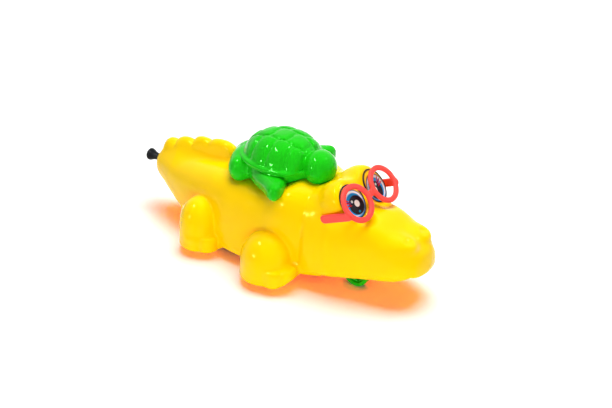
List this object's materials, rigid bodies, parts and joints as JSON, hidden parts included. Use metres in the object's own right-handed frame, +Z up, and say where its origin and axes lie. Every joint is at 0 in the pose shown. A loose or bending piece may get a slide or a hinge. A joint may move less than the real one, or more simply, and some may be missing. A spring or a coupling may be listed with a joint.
{
  "type": "toy crocodile",
  "caption": "Pull-cord toy crocodile on hidden wheels, carrying a turtle on its back and wearing round glasses that tilt on the head.",
  "frame": {"origin": "on the floor under the middle of the toy's box", "axes": "+X forward to the snout, +Y to the crocodile's left, +Z up"},
  "size_m": [0.1832, 0.0856, 0.0707],
  "materials": {
    "yellow_plastic": "glossy moulded",
    "green_plastic": "glossy moulded",
    "coral_plastic": "satin moulded",
    "printed_foil": "printed glossy sticker",
    "black_plastic": "satin moulded",
    "white_cord": "braided",
    "cream_nylon": "natural nylon",
    "black_rubber": "matte",
    "steel": "bright drawn"
  },
  "bodies": {
    "toy_body": {"upper_shell": "yellow_plastic", "base": "yellow_plastic", "turtle": "green_plastic", "eye_foil_left": "printed_foil", "eye_foil_right": "printed_foil", "gearbox_left": "cream_nylon", "gearbox_right": "cream_nylon", "drum_shaft": "steel", "idler_shaft": "steel", "mainspring": "steel", "gearbox_screw_1": "steel", "gearbox_screw_2": "steel", "gearbox_screw_3": "steel", "body_screw_1": "steel", "body_screw_2": "steel", "body_screw_3": "steel", "body_screw_4": "steel", "turtle_screw_left": "steel", "turtle_screw_right": "steel"},
    "drum": {"cord_drum": "cream_nylon", "cord_winding": "white_cord"},
    "pull": {"pull_knob": "black_plastic", "pull_cord": "white_cord"},
    "drive": {"drive_gear": "cream_nylon"},
    "idler": {"idler_gear": "cream_nylon"},
    "rear_wheels": {"rear_axle": "steel", "axle_pinion": "cream_nylon", "rear_wheel_left": "green_plastic", "rear_wheel_right": "green_plastic", "rear_tyre_left": "black_rubber", "rear_tyre_right": "black_rubber"},
    "front_wheels": {"front_axle": "steel", "front_wheel_left": "green_plastic", "front_wheel_right": "green_plastic"},
    "spectacles": {"glasses": "coral_plastic"}
  },
  "joints": [
    {"name": "drum_spin", "type": "hinge", "parent": "toy_body", "child": "drum", "pos_m": [-0.009, 0, 0.0177], "axis": [0, -1, 0], "range_deg": [0, 1838], "deforming": ["mainspring"]},
    {"name": "knob_pull", "type": "slide", "parent": "toy_body", "child": "pull", "axis": [-1, 0, 0], "range_m": [0, 0.3], "deforming": ["pull_cord"]},
    {"name": "rear_axle_spin", "type": "hinge", "parent": "toy_body", "child": "rear_wheels", "pos_m": [-0.0263, 0, 0.0105], "axis": [0, 1, 0], "continuous": true},
    {"name": "idler_spin", "type": "hinge", "parent": "toy_body", "child": "idler", "pos_m": [-0.02658, 0, 0.02026], "axis": [0, 1, 0], "continuous": true},
    {"name": "drive_gear_spin", "type": "hinge", "parent": "toy_body", "child": "drive", "pos_m": [-0.009, 0, 0.0177], "axis": [0, 1, 0], "continuous": true},
    {"name": "front_axle_spin", "type": "hinge", "parent": "toy_body", "child": "front_wheels", "pos_m": [0.0536, 0, 0.0076], "axis": [0, 1, 0], "continuous": true},
    {"name": "glasses_tilt", "type": "hinge", "parent": "toy_body", "child": "spectacles", "pos_m": [0.0427, 0, 0.0419], "axis": [0, -1, 0], "range_deg": [0, 40]}
  ],
  "couplings": [
    {"joint": "knob_pull", "follows": "drum_spin", "m_per_rad": 0.00935},
    {"joint": "idler_spin", "follows": "rear_axle_spin", "ratio": -0.5},
    {"joint": "drive_gear_spin", "follows": "rear_axle_spin", "ratio": 0.28571}
  ]
}
